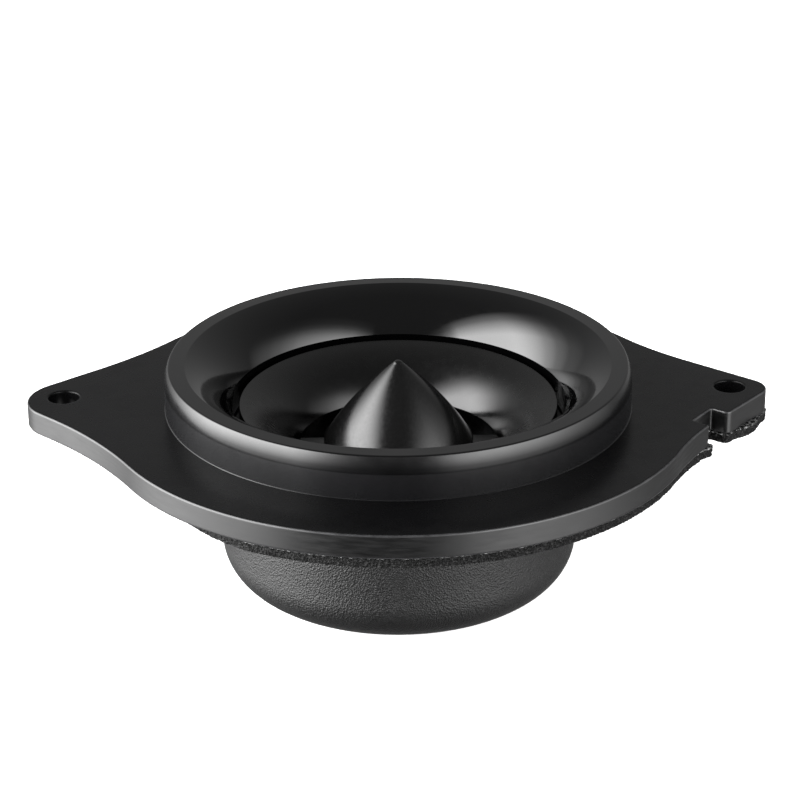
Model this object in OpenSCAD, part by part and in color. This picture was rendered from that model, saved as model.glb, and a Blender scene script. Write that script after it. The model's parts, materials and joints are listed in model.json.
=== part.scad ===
// Bullet tweeter on a two-eared adapter plate, ready to drop into a dash opening.
// The origin is on the tweeter's axis, in the plane where the foam gasket meets the dash.
// +Z points at the listener.

/* [Mounting plate] */
// Radius of the plate's round middle
disc_r = 47.4; // [46.8:0.1:48.2]
// How far the round middle's centre lies in front of the tweeter's axis
disc_forward = 1.6; // [0:0.1:2]
// Thickness of the plate
plate_t = 3.9; // [3.4:0.1:4.2]
// Distance between the two ear holes
ear_hole_spacing = 108.2; // [107.6:0.1:108.8]
// How far the line of the ear holes lies behind the tweeter's axis
ear_hole_back = 3.2; // [2.8:0.1:3.6]
// Diameter of the ear holes
ear_hole_d = 5; // [4:0.1:5.4]
// Radius of the round left ear
left_tip_r = 7.7; // [7.2:0.1:8]
// Corner radius of the square right ear
right_tip_r = 3.6; // [3.2:0.1:4]
// Radius of the hollow blends between the left ear and the middle
left_blend_r = 75; // [65:1:85]
// Radius of the hollow blends between the right ear and the middle
right_blend_r = 56; // [48:1:62]
// Width of the keying notch in the right ear
notch_w = 5.8; // [5:0.1:6]
// Depth of the keying notch
notch_depth = 3.1; // [2.6:0.1:3.4]

/* [Gasket] */
// Thickness of the foam gasket
gasket_t = 1.6; // [1.6:0.1:2.2]
// How far the foam's edge lies inside the plate's edge
gasket_inset = 0.6; // [0.4:0.1:1]
// How far the foam's own ear reaches out past its place under the right ear
gasket_ear_out = 0.7; // [0:0.1:1.2]
// How far the foam reaches into the notch from its left side
gasket_lobe = 0.8; // [0:0.1:1]

/* [Horn] */
// Outer radius of the horn ring
ring_r = 37.5; // [37.3:0.1:37.6]
// Height of the horn ring above the plate
ring_h = 7; // [6.8:0.1:7.4]
// Radius where the ring's flat rim ends and its flare begins
rim_inner_r = 34.15; // [34:0.05:34.4]
// Radius of the ring's bore
ring_bore_r = 26.95; // [26.8:0.05:27.1]
// Radius of the bowl's lip
bowl_lip_r = 25.65; // [25.5:0.05:25.8]
// Radius of the bowl's throat
throat_r = 16; // [15.9:0.05:16.1]
// Depth of the bowl from lip to throat
bowl_depth = 7.1; // [6.8:0.1:7.4]
// Radius of the bullet's base
bullet_r = 12.1; // [12:0.05:12.3]
// Number of spider arms
spider_arms = 4; // [3:1:6]
// Width of a spider arm
arm_w = 3; // [2.4:0.1:3.4]

/* [Rear can] */
// Outer radius of the can
can_r = 29; // [29:0.1:29.6]
// Depth of the can below the dash plane
can_depth = 24.8; // [24.8:0.1:27]
// Radius of the can's lower edge
can_edge_r = 7.5; // [7:0.1:8]
// Wall thickness of the can
can_wall = 1.8; // [1.7:0.1:1.8]

/* [Motor] */
// Inside radius of the voice-coil former
coil_r = 12.6; // [12.55:0.01:12.65]
// Travel of the diaphragm each way
coil_travel = 0.3; // [0.2:0.05:0.3]
// Height of the diaphragm's dome
dome_h = 2.6; // [2.4:0.1:2.7]
// Thickness of the magnet
magnet_t = 3.5; // [3:0.1:3.6]
// Thickness of the pole plate
pole_t = 2.5; // [2.4:0.1:2.6]

/* [Hidden] */

$fn = 96;
big_fn = 240;
eps = 0.01;
fit_gap = 0.1;
screw_gap = 0.05;

// Levels, from the dash plane at zero
plate_z = gasket_t;
plate_top = plate_z + plate_t;
ring_top = plate_top + ring_h;

// Plate outline: centres of the tips, and the direction each flank faces, in degrees
disc_c = [0, -disc_forward];
left_reach = 59.9;
left_tip = [left_tip_r - left_reach, ear_hole_back - 0.9];
right_tip = [56.4, ear_hole_back - 0.3];
left_back_faces = 130.3;
left_front_faces = 225.5;
right_back_faces = 48.8;
right_front_faces = -40;
notch_c = [50.6, -9.7];
notch_faces = -38;
outline_step = 2.5;
cutout_r = 32;

// Horn
rim_round_r = 1;
spigot_r = cutout_r - 0.2;
ring_lip_z = plate_top + 0.4;
flare_turn = 20;
bowl_turn = 26;
bowl_lip_z = plate_top - 0.1;
throat_z = bowl_lip_z - bowl_depth;
bowl_base_z = throat_z - 5;
bowl_flange_r = 28.2;
bowl_gasket_t = 0.4;
bowl_flange_top = plate_z - bowl_gasket_t;
bowl_flange_t = 0.8;
bowl_flange_z = bowl_flange_top - bowl_flange_t;

// Bullet and its spider
bullet_tip_z = ring_top - 0.1;
bullet_tip_r = 0.8;
bullet_nose_r = 1.25 * bullet_tip_r;
bullet_nose_drop = 0.5 * bullet_tip_r;
bullet_skirt_h = 0.7;
bullet_turn = 8.4;
arm_h = 4;
spider_ring_h = 2.8;
spider_ring_r = 18.4;
phase_gap = coil_travel + 0.5;
plug_shank_r = 1.2;
plug_head_r = 2.1;
plug_head_h = 1.2;
plug_shank_h = 6.5;
spider_web_t = 1.1;

// Diaphragm and motor
carrier_t = 1.6;
carrier_r = 25.4;
carrier_seat_r = 17;
carrier_bore_r = 15.6;
carrier_z = bowl_base_z - carrier_t;
cone_z = carrier_z + 0.8;
film_t = 0.15;
dome_t = 0.2;
dome_r = coil_r + 0.1;
dome_sphere_r = (dome_r * dome_r + dome_h * dome_h) / (2 * dome_h);
dome_sphere_z = cone_z + dome_h - dome_sphere_r;
roll_r = 0.8;
roll_c_r = 14.3;
former_t = 0.1;
former_h = 3.5;
winding_t = 0.3;
winding_h = 2.4;
pole_r = coil_r - 0.3;
magnet_r = pole_r - 0.5;
pot_bore_r = coil_r + former_t + winding_t + 0.4;
pot_r = 17.4;
pot_lip_r = 18.6;
pot_lip_t = 1;
pot_floor_t = 3;
pot_inner_z = carrier_z - pole_t - magnet_t;
pot_bottom_z = pot_inner_z - pot_floor_t;
bracket_t = 2.5;
pad_r = 9.5;
pad_t = 1;

// Screws
motor_screw_pitch_r = 21.5;
motor_shank_r = 1.45;
motor_head_r = 2.6;
motor_head_h = 1.8;
motor_screw_reach = bowl_base_z + 5.5;
can_screw_pitch_r = 34.8;
can_shank_r = 1.2;
can_head_r = 2.2;
can_head_h = 1.4;
can_screw_reach = plate_top + 3.8;
pilot_extra = 0.2;
diagonal_screws = [45, 135, 225, 315];
recess_width_share = 0.36;
recess_length_share = 1.2;
recess_depth_share = 0.55;

// Can
can_bore_r = can_r - can_wall;
can_floor_t = 2;
can_floor_z = can_floor_t - can_depth;
can_bore_edge_r = can_edge_r - can_wall;
can_flange_r = 37.6;
can_flange_z = 0.3;
gasket_bore_r = can_flange_r + 0.6;
gasket_hole_extra = 1;
rib_x = 4;
rib_w = 1.5;
rib_reach = 3;

// Terminals, on a flat boss at the back of the can
boss_half_w = 11;
boss_half_h = 6;
boss_y = can_r + 1;
board_z = -13;
board_half_w = 10.6;
board_half_h = 5.5;
board_t = 1.6;
window_half_w = 7.5;
window_half_h = 3.6;
window_from_y = 23;
board_plug_t = 2;
terminal_x = 4.6;
terminal_reach = 6;
tail_half_w = 1;
tail_y = 22.7;
positive_w = 4.8;
positive_t = 0.8;
negative_w = 2.8;
negative_t = 0.5;
blade_hole_d = 1.4;
blade_chamfer = 0.6;
board_screw_x = 8.9;
board_shank_r = 0.75;
board_shank_h = 2.6;
board_head_r = 1.3;
board_head_h = 0.9;

// Capacitor and wires
capacitor_r = 3.5;
capacitor_half_l = 7.5;
capacitor_c = [0, -21.4, -18.5];
capacitor_lead_r = 0.35;
capacitor_lead_x = 10;
supply_wire_r = 0.6;
coil_wire_r = 0.45;
elbow_extra = 0.08;
wire_path_r = norm([capacitor_lead_x, capacitor_c.y]);
tab_angle = 15;
tab_end_r = 26.6;
tab_start_r = 23;
tab_w = 2.2;
tab_t = 0.3;
lead_w = 1;
lead_t = 0.1;
lead_lap = 1;
slot_depth = 0.6;
rise_r = 26.15;
negative_path_r = 25.2;
negative_path_z = -16;
lead_overrun = 1.5;
jumper_climb = 2.5;
negative_climb = 1.5;

// A point at the given radius and angle from the axis
function polar(r, a) = [r * cos(a), r * sin(a)];

// A point in space at the given radius, angle and height
function polar3(r, a, z) = [r * cos(a), r * sin(a), z];

// Centre of an arc that runs from p to q and turns through twice the angle `turn`.
// The centre lies to the right of the way from p to q.
function arc_centre(p, q, turn) =
    let (chord = q - p, way = chord / norm(chord), half = norm(chord) / 2)
    (p + q) / 2 + [way.y, -way.x] * half / tan(turn);

// Radius of the same arc
function arc_radius(p, q, turn) = norm(q - p) / (2 * sin(turn));

// Points along an arc
function arc(centre, r, from, to) =
    let (steps = ceil(abs(to - from) / outline_step))
    [for (k = [0:steps]) centre + polar(r, from + (to - from) * k / steps)];

// The same direction as `a`, counted so that it lies within half a turn of `near`
function turn_near(a, near) = near + (a - near + 540) % 360 - 180;

// A list in the opposite order
function backwards(list) = [for (k = [len(list) - 1:-1:0]) list[k]];

// Centre of a hollow blend that touches a straight flank and the plate's round middle from outside.
// The flank leaves `start` in the direction `way` and faces `faces`, and `inset` shrinks the outline.
function blend_centre(start, way, faces, blend_r, inset) =
    let (
        base = start + polar(blend_r + inset, faces) - disc_c,
        along = base * way,
        reach = blend_r + disc_r
    )
    disc_c + base - way * (along + sqrt(along * along - base * base + reach * reach));

// The hollow end of a flank, from its straight stretch to the middle.
// `side` is 1 where the way from the tip to the middle is a left turn from the direction that the
// flank faces, and -1 where it is a right turn.
function flank(tip, tip_r, faces, blend_r, side, inset) =
    let (
        start = tip + polar(tip_r - inset, faces),
        centre = blend_centre(start, polar(1, faces + 90 * side), faces, blend_r, inset),
        home = disc_c - centre,
        straight_end = faces + 180
    )
    arc(centre, blend_r + inset, straight_end, turn_near(atan2(home.y, home.x), straight_end));

// Direction of a point as seen from the middle of the plate
function seen_from_middle(p) = atan2(p.y - disc_c.y, p.x - disc_c.x);

// A list without its first and last entries
function inner_points(list) = [for (k = [1:len(list) - 2]) list[k]];

// Outline of the plate, counter-clockwise from the right ear
plate_points =
    let (
        right_back = flank(right_tip, right_tip_r, right_back_faces, right_blend_r, 1, 0),
        left_back = flank(left_tip, left_tip_r, left_back_faces, left_blend_r, -1, 0),
        left_front = flank(left_tip, left_tip_r, left_front_faces, left_blend_r, 1, 0),
        right_front = flank(right_tip, right_tip_r, right_front_faces, right_blend_r, -1, 0),
        back_from = seen_from_middle(right_back[len(right_back) - 1]),
        back_to = seen_from_middle(left_back[len(left_back) - 1]),
        front_from = seen_from_middle(left_front[len(left_front) - 1]),
        front_to = seen_from_middle(right_front[len(right_front) - 1])
    )
    concat(
        arc(right_tip, right_tip_r, right_front_faces, right_back_faces),
        right_back,
        inner_points(arc(disc_c, disc_r, back_from, back_to)),
        backwards(left_back),
        arc(left_tip, left_tip_r, left_back_faces, left_front_faces),
        left_front,
        inner_points(arc(disc_c, disc_r, front_from, front_to)),
        backwards(right_front)
    );

// Outline of the foam, which follows the plate's round middle and right ear
gasket_points =
    let (
        tip = right_tip + [gasket_ear_out, 0],
        back = flank(tip, right_tip_r, right_back_faces, right_blend_r, 1, gasket_inset),
        front = flank(tip, right_tip_r, right_front_faces, right_blend_r, -1, gasket_inset),
        from = seen_from_middle(back[len(back) - 1]),
        to = seen_from_middle(front[len(front) - 1]) + 360
    )
    concat(
        arc(tip, right_tip_r - gasket_inset, right_front_faces, right_back_faces),
        back,
        inner_points(arc(disc_c, disc_r - gasket_inset, from, to)),
        backwards(front)
    );

// An outline with a keying notch cut into it, narrowed from its left side by `lobe`
module notched(points, depth, lobe) {
    difference() {
        polygon(points);
        translate(notch_c)
            rotate(notch_faces)
                translate([-depth, lobe - notch_w / 2]) square([3 * depth, notch_w - lobe]);
    }
}

// Copies its children to both ear holes
module at_ear_holes() {
    for (side = [-1, 1])
        translate([side * ear_hole_spacing / 2, ear_hole_back, 0]) children();
}

// Copies its children to the four diagonals at the given radius
module at_diagonals(pitch_r) {
    for (a = diagonal_screws)
        translate(polar3(pitch_r, a, 0)) children();
}

// A tube between two radii
module tube(outer_r, inner_r, low, high) {
    translate([0, 0, low])
        difference() {
            cylinder(r = outer_r, h = high - low);
            translate([0, 0, -eps]) cylinder(r = inner_r, h = high - low + 2 * eps);
        }
}

// A drum whose lower edge is rounded
module round_bottom_drum(r, edge_r, low, high) {
    rotate_extrude() {
        polygon([
            [0, low], [r - edge_r, low], [r - edge_r, low + edge_r],
            [r, low + edge_r], [r, high], [0, high]
        ]);
        intersection() {
            translate([r - edge_r, low + edge_r]) circle(r = edge_r);
            translate([0, low]) square([r, edge_r]);
        }
    }
}

// A screw that points up, with a pan head below the level `seat`
module pan_screw(shank_r, head_r, head_h, seat, reach) {
    slot_w = head_r * recess_width_share;
    slot_l = head_r * recess_length_share;
    translate([0, 0, seat]) cylinder(r = shank_r, h = reach - seat);
    difference() {
        translate([0, 0, seat - head_h]) cylinder(r = head_r, h = head_h);
        for (turn = [0, 90])
            rotate(turn)
                translate([-slot_l / 2, -slot_w / 2, seat - head_h - eps])
                    cube([slot_l, slot_w, head_h * recess_depth_share]);
    }
}

// A straight stretch of wire
module wire_run(p, q, r) {
    way = q - p;
    tilt = acos(way.z / norm(way));
    translate(p) rotate([0, tilt, atan2(way.y, way.x)]) cylinder(r = r, h = norm(way), $fn = 24);
}

// A stretch of wire that bends round the axis
module wire_bend(path_r, z, from, to, r) {
    translate([0, 0, z])
        rotate([0, 0, from])
            rotate_extrude(angle = to - from)
                translate([path_r, 0]) circle(r = r, $fn = 24);
}

// A round elbow between two stretches of wire, a little fuller than the wire
module wire_elbow(p, r) {
    translate(p) sphere(r = r + elbow_extra, $fn = 24);
}

module mounting_plate() {
    color([0.10, 0.10, 0.11])
        difference() {
            translate([0, 0, plate_z])
                linear_extrude(plate_t) notched(plate_points, notch_depth, 0);
            translate([0, 0, plate_z - eps]) cylinder(r = cutout_r, h = plate_t + 2 * eps);
            translate([0, 0, plate_z - eps]) {
                at_ear_holes() cylinder(d = ear_hole_d, h = plate_t + 2 * eps);
                at_diagonals(can_screw_pitch_r)
                    cylinder(r = can_shank_r + pilot_extra, h = plate_t + 2 * eps);
            }
        }
}

module foam_gasket() {
    color([0.05, 0.05, 0.05])
        difference() {
            linear_extrude(gasket_t)
                notched(gasket_points, notch_depth + gasket_inset, gasket_lobe);
            translate([0, 0, -eps]) cylinder(r = gasket_bore_r, h = gasket_t + 2 * eps);
            translate([ear_hole_spacing / 2, ear_hole_back, -eps])
                cylinder(d = ear_hole_d + gasket_hole_extra, h = gasket_t + 2 * eps);
        }
}

module horn_ring() {
    flare_top = [rim_inner_r, ring_top];
    flare_foot = [ring_bore_r, ring_lip_z];
    shoulder = ring_r - rim_round_r;
    color([0.07, 0.07, 0.08])
        difference() {
            rotate_extrude($fn = big_fn) {
                polygon([
                    [ring_bore_r, plate_z], [spigot_r, plate_z], [spigot_r, plate_top],
                    [ring_r, plate_top], [ring_r, ring_top - rim_round_r],
                    [shoulder, ring_top - rim_round_r], [shoulder, ring_top], flare_top, flare_foot
                ]);
                intersection() {
                    translate(arc_centre(flare_foot, flare_top, flare_turn))
                        circle(r = arc_radius(flare_foot, flare_top, flare_turn), $fn = big_fn);
                    polygon([flare_foot, flare_top, [ring_bore_r, ring_top]]);
                }
                translate([shoulder, ring_top - rim_round_r]) circle(r = rim_round_r);
            }
            translate([0, 0, plate_top - eps])
                at_diagonals(can_screw_pitch_r)
                    cylinder(r = can_shank_r + screw_gap, h = can_screw_reach - plate_top + pilot_extra);
        }
}

module horn_bowl() {
    lip = [bowl_lip_r, bowl_lip_z];
    throat = [throat_r, throat_z];
    screw_depth = motor_screw_reach - bowl_base_z;
    color([0.09, 0.09, 0.09])
        difference() {
            rotate_extrude($fn = big_fn) {
                polygon([
                    throat, [throat_r, bowl_base_z],
                    [bowl_lip_r, bowl_base_z], [bowl_lip_r, bowl_flange_z],
                    [bowl_flange_r, bowl_flange_z], [bowl_flange_r, bowl_flange_top],
                    [bowl_lip_r, bowl_flange_top], lip
                ]);
                intersection() {
                    translate(arc_centre(throat, lip, bowl_turn))
                        circle(r = arc_radius(throat, lip, bowl_turn), $fn = big_fn);
                    polygon([throat, lip, [throat_r, bowl_lip_z]]);
                }
            }
            translate([0, 0, bowl_base_z - eps]) {
                cylinder(r = spider_ring_r + fit_gap, h = spider_ring_h + eps);
                at_diagonals(motor_screw_pitch_r)
                    cylinder(r = motor_shank_r + screw_gap, h = screw_depth + pilot_extra);
            }
        }
}

module bowl_gasket() {
    color([0.04, 0.04, 0.04]) tube(bowl_flange_r, ring_bore_r, bowl_flange_top, plate_z);
}

module bullet_plug() {
    base = [bullet_r, throat_z + bullet_skirt_h];
    nose = [bullet_tip_r, bullet_tip_z - bullet_nose_drop];
    color([0.12, 0.12, 0.12])
        difference() {
            rotate_extrude($fn = big_fn) {
                polygon([[0, throat_z], [bullet_r, throat_z], base, nose, [0, nose.y]]);
                intersection() {
                    translate(arc_centre(nose, base, bullet_turn))
                        circle(r = arc_radius(nose, base, bullet_turn), $fn = 2 * big_fn);
                    polygon([nose, base, [bullet_r, nose.y]]);
                }
                intersection() {
                    translate([0, bullet_tip_z - bullet_nose_r]) circle(r = bullet_nose_r);
                    translate([0, nose.y - eps]) square([bullet_tip_r, bullet_tip_r]);
                }
            }
            translate([0, 0, throat_z - eps])
                cylinder(r = plug_shank_r + screw_gap, h = plug_shank_h + pilot_extra);
        }
}

module plug_spider() {
    color([0.10, 0.10, 0.10])
        difference() {
            union() {
                tube(spider_ring_r, throat_r, bowl_base_z, bowl_base_z + spider_ring_h);
                translate([0, 0, bowl_base_z]) cylinder(r = bullet_r, h = throat_z - bowl_base_z);
                for (k = [0:spider_arms - 1])
                    rotate(k * 360 / spider_arms)
                        translate([0, -arm_w / 2, throat_z - arm_h])
                            cube([throat_r - fit_gap, arm_w, arm_h]);
                for (k = [0:spider_arms - 1])
                    rotate(k * 360 / spider_arms)
                        translate([throat_r - 1, -arm_w / 2, throat_z - arm_h])
                            cube([1 + fit_gap, arm_w, arm_h - (throat_z - bowl_base_z - spider_ring_h)]);
            }
            translate([0, 0, dome_sphere_z]) sphere(r = dome_sphere_r + phase_gap, $fn = big_fn);
            translate([0, 0, throat_z - spider_web_t - 2 * plug_head_h])
                cylinder(r = plug_head_r + fit_gap, h = 2 * plug_head_h);
            translate([0, 0, bowl_base_z])
                cylinder(r = plug_shank_r + screw_gap, h = throat_z - bowl_base_z + eps);
        }
}

module plug_screw() {
    color([0.55, 0.55, 0.57])
        pan_screw(
            plug_shank_r, plug_head_r, plug_head_h,
            throat_z - spider_web_t, throat_z + plug_shank_h
        );
}

module diaphragm_carrier() {
    color([0.18, 0.18, 0.19])
        difference() {
            union() {
                tube(carrier_r, carrier_bore_r, carrier_z, cone_z);
                tube(carrier_r, carrier_seat_r, cone_z - eps, bowl_base_z);
            }
            translate([0, 0, carrier_z - eps]) {
                at_diagonals(motor_screw_pitch_r)
                    cylinder(r = motor_shank_r + pilot_extra, h = carrier_t + 2 * eps);
                for (side = [-1, 1])
                    rotate(90 + side * tab_angle)
                        translate([coil_r, -tab_w / 2 - fit_gap, 0])
                            cube([carrier_r, tab_w + 2 * fit_gap, slot_depth]);
            }
        }
}

module surround() {
    inner_lip_r = dome_r + screw_gap;
    outer_lip_r = carrier_seat_r - fit_gap;
    color([0.13, 0.13, 0.13])
        rotate_extrude() {
            translate([inner_lip_r, cone_z]) square([roll_c_r - roll_r - inner_lip_r, film_t]);
            translate([roll_c_r + roll_r, cone_z]) square([outer_lip_r - roll_c_r - roll_r, film_t]);
            intersection() {
                translate([roll_c_r, cone_z])
                    difference() {
                        circle(r = roll_r + film_t);
                        circle(r = roll_r);
                    }
                translate([0, cone_z]) square([2 * roll_c_r, 2 * roll_r]);
            }
        }
}

module diaphragm_dome() {
    color([0.66, 0.67, 0.70])
        intersection() {
            translate([0, 0, dome_sphere_z])
                difference() {
                    sphere(r = dome_sphere_r, $fn = big_fn);
                    sphere(r = dome_sphere_r - dome_t, $fn = big_fn);
                }
            translate([0, 0, cone_z]) cylinder(r = dome_r, h = 2 * dome_h);
        }
}

module voice_coil_former() {
    color([0.72, 0.56, 0.25]) tube(coil_r + former_t, coil_r, cone_z - former_h, cone_z);
}

module voice_coil() {
    winding_top = carrier_z - (pole_t - winding_h) / 2;
    inner_r = coil_r + former_t;
    color([0.72, 0.40, 0.20]) tube(inner_r + winding_t, inner_r, winding_top - winding_h, winding_top);
}

module coil_leads() {
    color([0.72, 0.40, 0.20])
        for (side = [-1, 1])
            rotate(90 + side * tab_angle)
                translate([dome_r + film_t, -lead_w / 2, carrier_z + tab_t])
                    cube([tab_start_r + lead_lap - dome_r, lead_w, lead_t]);
}

module solder_tabs() {
    color([0.80, 0.65, 0.30])
        for (side = [-1, 1])
            rotate(90 + side * tab_angle)
                translate([tab_start_r, -tab_w / 2, carrier_z])
                    cube([tab_end_r - tab_start_r, tab_w, tab_t]);
}

module damping_pad() {
    color([0.35, 0.35, 0.33]) translate([0, 0, carrier_z]) cylinder(r = pad_r, h = pad_t);
}

module motor_bracket() {
    color([0.16, 0.16, 0.17])
        difference() {
            translate([0, 0, carrier_z - bracket_t]) cylinder(r = carrier_r, h = bracket_t);
            translate([0, 0, carrier_z - bracket_t - eps]) {
                cylinder(r = pot_r + fit_gap, h = bracket_t + 2 * eps);
                at_diagonals(motor_screw_pitch_r)
                    cylinder(r = motor_shank_r + pilot_extra, h = bracket_t + 2 * eps);
            }
            translate([0, 0, carrier_z - pot_lip_t])
                cylinder(r = pot_lip_r + fit_gap, h = pot_lip_t + eps);
        }
}

module pot_yoke() {
    color([0.62, 0.62, 0.64])
        difference() {
            union() {
                translate([0, 0, pot_bottom_z]) cylinder(r = pot_r, h = carrier_z - pot_bottom_z);
                translate([0, 0, carrier_z - pot_lip_t]) cylinder(r = pot_lip_r, h = pot_lip_t);
            }
            translate([0, 0, pot_inner_z]) cylinder(r = pot_bore_r, h = carrier_z - pot_inner_z + eps);
        }
}

module magnet() {
    color([0.55, 0.56, 0.58]) translate([0, 0, pot_inner_z]) cylinder(r = magnet_r, h = magnet_t);
}

module pole_plate() {
    color([0.62, 0.62, 0.64]) translate([0, 0, carrier_z - pole_t]) cylinder(r = pole_r, h = pole_t);
}

module motor_screws() {
    color([0.55, 0.55, 0.57])
        at_diagonals(motor_screw_pitch_r)
            pan_screw(
                motor_shank_r, motor_head_r, motor_head_h,
                carrier_z - bracket_t, motor_screw_reach
            );
}

module rear_can() {
    color([0.17, 0.17, 0.18])
        difference() {
            union() {
                difference() {
                    union() {
                        round_bottom_drum(can_r, can_edge_r, -can_depth, plate_z);
                        translate([0, 0, can_flange_z])
                            cylinder(r = can_flange_r, h = plate_z - can_flange_z);
                        translate([-boss_half_w, 0, board_z - boss_half_h])
                            cube([2 * boss_half_w, boss_y, 2 * boss_half_h]);
                    }
                    round_bottom_drum(can_bore_r, can_bore_edge_r, can_floor_z, plate_z + eps);
                }
                for (side = [-1, 1])
                    translate([side * rib_x - rib_w / 2, capacitor_c.y - rib_reach, can_floor_z - eps])
                        cube([rib_w, 2 * rib_reach, capacitor_c.z - can_floor_z]);
            }
            translate([0, 0, bowl_flange_z]) cylinder(r = bowl_flange_r + fit_gap, h = plate_z);
            translate([-window_half_w, window_from_y, board_z - window_half_h])
                cube([2 * window_half_w, boss_y - window_from_y + eps, 2 * window_half_h]);
            translate(capacitor_c - [2 * rib_x, 0, 0])
                rotate([0, 90, 0]) cylinder(r = capacitor_r + screw_gap, h = 4 * rib_x);
            translate([0, 0, -eps])
                at_diagonals(can_screw_pitch_r)
                    cylinder(r = can_shank_r + pilot_extra, h = plate_z + 2 * eps);
            for (side = [-1, 1])
                translate([side * board_screw_x, boss_y + eps, board_z])
                    rotate([90, 0, 0])
                        cylinder(r = board_shank_r + screw_gap, h = board_shank_h + pilot_extra);
        }
}

module can_screws() {
    color([0.20, 0.20, 0.21])
        at_diagonals(can_screw_pitch_r)
            pan_screw(can_shank_r, can_head_r, can_head_h, can_flange_z, can_screw_reach);
}

// Copies its children to the place of a terminal.
// `side` is 1 for the positive one and -1 for the negative one.
module at_terminal(side) {
    translate([side * terminal_x, 0, board_z]) children();
}

// The slot through the board that a terminal's blade fills
module blade_slot(side, width, thickness) {
    at_terminal(side)
        translate([-thickness / 2, boss_y - board_plug_t - eps, -width / 2])
            cube([thickness, board_plug_t + board_t + 2 * eps, width]);
}

// One spade terminal: a blade through and outside the board, and a narrow tail inside the can
module spade(side, width, thickness) {
    root_y = boss_y - board_plug_t;
    blade_l = board_plug_t + board_t + terminal_reach;
    shoulder = blade_l - blade_chamfer;
    at_terminal(side) {
        translate([-thickness / 2, root_y, 0])
            rotate([90, 0, 90])
                linear_extrude(thickness)
                    difference() {
                        polygon([
                            [0, -width / 2], [shoulder, -width / 2], [blade_l, blade_chamfer - width / 2],
                            [blade_l, width / 2 - blade_chamfer], [shoulder, width / 2], [0, width / 2]
                        ]);
                        translate([blade_l - terminal_reach / 2, 0]) circle(d = blade_hole_d);
                    }
        translate([-thickness / 2, tail_y, -tail_half_w])
            cube([thickness, root_y - tail_y + eps, 2 * tail_half_w]);
    }
}

module terminal_board() {
    plug_half_w = window_half_w - fit_gap;
    plug_half_h = window_half_h - fit_gap;
    color([0.12, 0.12, 0.12])
        difference() {
            union() {
                translate([-board_half_w, boss_y, board_z - board_half_h])
                    cube([2 * board_half_w, board_t, 2 * board_half_h]);
                translate([-plug_half_w, boss_y - board_plug_t, board_z - plug_half_h])
                    cube([2 * plug_half_w, board_plug_t + eps, 2 * plug_half_h]);
            }
            for (side = [-1, 1])
                translate([side * board_screw_x, boss_y + board_t + eps, board_z])
                    rotate([90, 0, 0]) cylinder(r = board_shank_r + screw_gap, h = board_t + 2 * eps);
            blade_slot(1, positive_w + 2 * screw_gap, positive_t + 2 * screw_gap);
            blade_slot(-1, negative_w + 2 * screw_gap, negative_t + 2 * screw_gap);
        }
}

module board_screws() {
    color([0.55, 0.55, 0.57])
        for (side = [-1, 1])
            translate([side * board_screw_x, boss_y + board_t, board_z])
                rotate([90, 0, 0])
                    pan_screw(board_shank_r, board_head_r, board_head_h, 0, board_shank_h + board_t);
}

module positive_terminal() {
    color([0.83, 0.72, 0.40]) spade(1, positive_w, positive_t);
}

module negative_terminal() {
    color([0.78, 0.78, 0.80]) spade(-1, negative_w, negative_t);
}

module capacitor() {
    lead_l = capacitor_lead_x - capacitor_half_l - supply_wire_r - screw_gap;
    color([0.20, 0.25, 0.45])
        translate(capacitor_c) {
            rotate([0, 90, 0]) cylinder(r = capacitor_r, h = 2 * capacitor_half_l, center = true);
            for (side = [-1, 1])
                rotate([0, side * 90, 0])
                    translate([0, 0, capacitor_half_l - eps])
                        cylinder(r = capacitor_lead_r, h = lead_l + eps, $fn = 24);
        }
}

module positive_wire() {
    start = -atan2(-capacitor_c.y, capacitor_lead_x) - lead_overrun;
    finish = acos(terminal_x / wire_path_r);
    turn = polar3(wire_path_r, finish, capacitor_c.z);
    color([0.60, 0.10, 0.08]) {
        wire_bend(wire_path_r, capacitor_c.z, start, finish, supply_wire_r);
        wire_elbow(turn, supply_wire_r);
        wire_run(turn, [turn.x, turn.y, board_z - tail_half_w], supply_wire_r);
    }
}

module jumper_wire() {
    start = 90 + tab_angle;
    finish = 180 + atan2(-capacitor_c.y, capacitor_lead_x) + lead_overrun;
    turn = polar3(wire_path_r, start, capacitor_c.z);
    foot = polar3(rise_r, start, capacitor_c.z + jumper_climb);
    color([0.60, 0.10, 0.08]) {
        wire_bend(wire_path_r, capacitor_c.z, start, finish, supply_wire_r);
        wire_elbow(turn, supply_wire_r);
        wire_run(turn, foot, coil_wire_r);
        wire_elbow(foot, coil_wire_r);
        wire_run(foot, [foot.x, foot.y, carrier_z], coil_wire_r);
    }
}

module negative_wire() {
    start = 90 - tab_angle;
    finish = acos(-terminal_x / negative_path_r);
    tail = polar3(negative_path_r, finish, negative_path_z);
    turn = polar3(negative_path_r, start, negative_path_z);
    foot = polar3(rise_r, start, negative_path_z + negative_climb);
    color([0.08, 0.08, 0.08]) {
        wire_run(tail, [tail.x, tail.y, board_z - tail_half_w], coil_wire_r);
        wire_elbow(tail, coil_wire_r);
        wire_bend(negative_path_r, negative_path_z, start, finish, coil_wire_r);
        wire_elbow(turn, coil_wire_r);
        wire_run(turn, foot, coil_wire_r);
        wire_elbow(foot, coil_wire_r);
        wire_run(foot, [foot.x, foot.y, carrier_z], coil_wire_r);
    }
}

mounting_plate();
foam_gasket();
horn_ring();
horn_bowl();
bowl_gasket();
bullet_plug();
plug_spider();
plug_screw();
diaphragm_carrier();
surround();
diaphragm_dome();
voice_coil_former();
voice_coil();
coil_leads();
solder_tabs();
damping_pad();
motor_bracket();
pot_yoke();
magnet();
pole_plate();
motor_screws();
rear_can();
can_screws();
terminal_board();
board_screws();
positive_terminal();
negative_terminal();
capacitor();
positive_wire();
negative_wire();
jumper_wire();
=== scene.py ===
import json
import math

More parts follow.
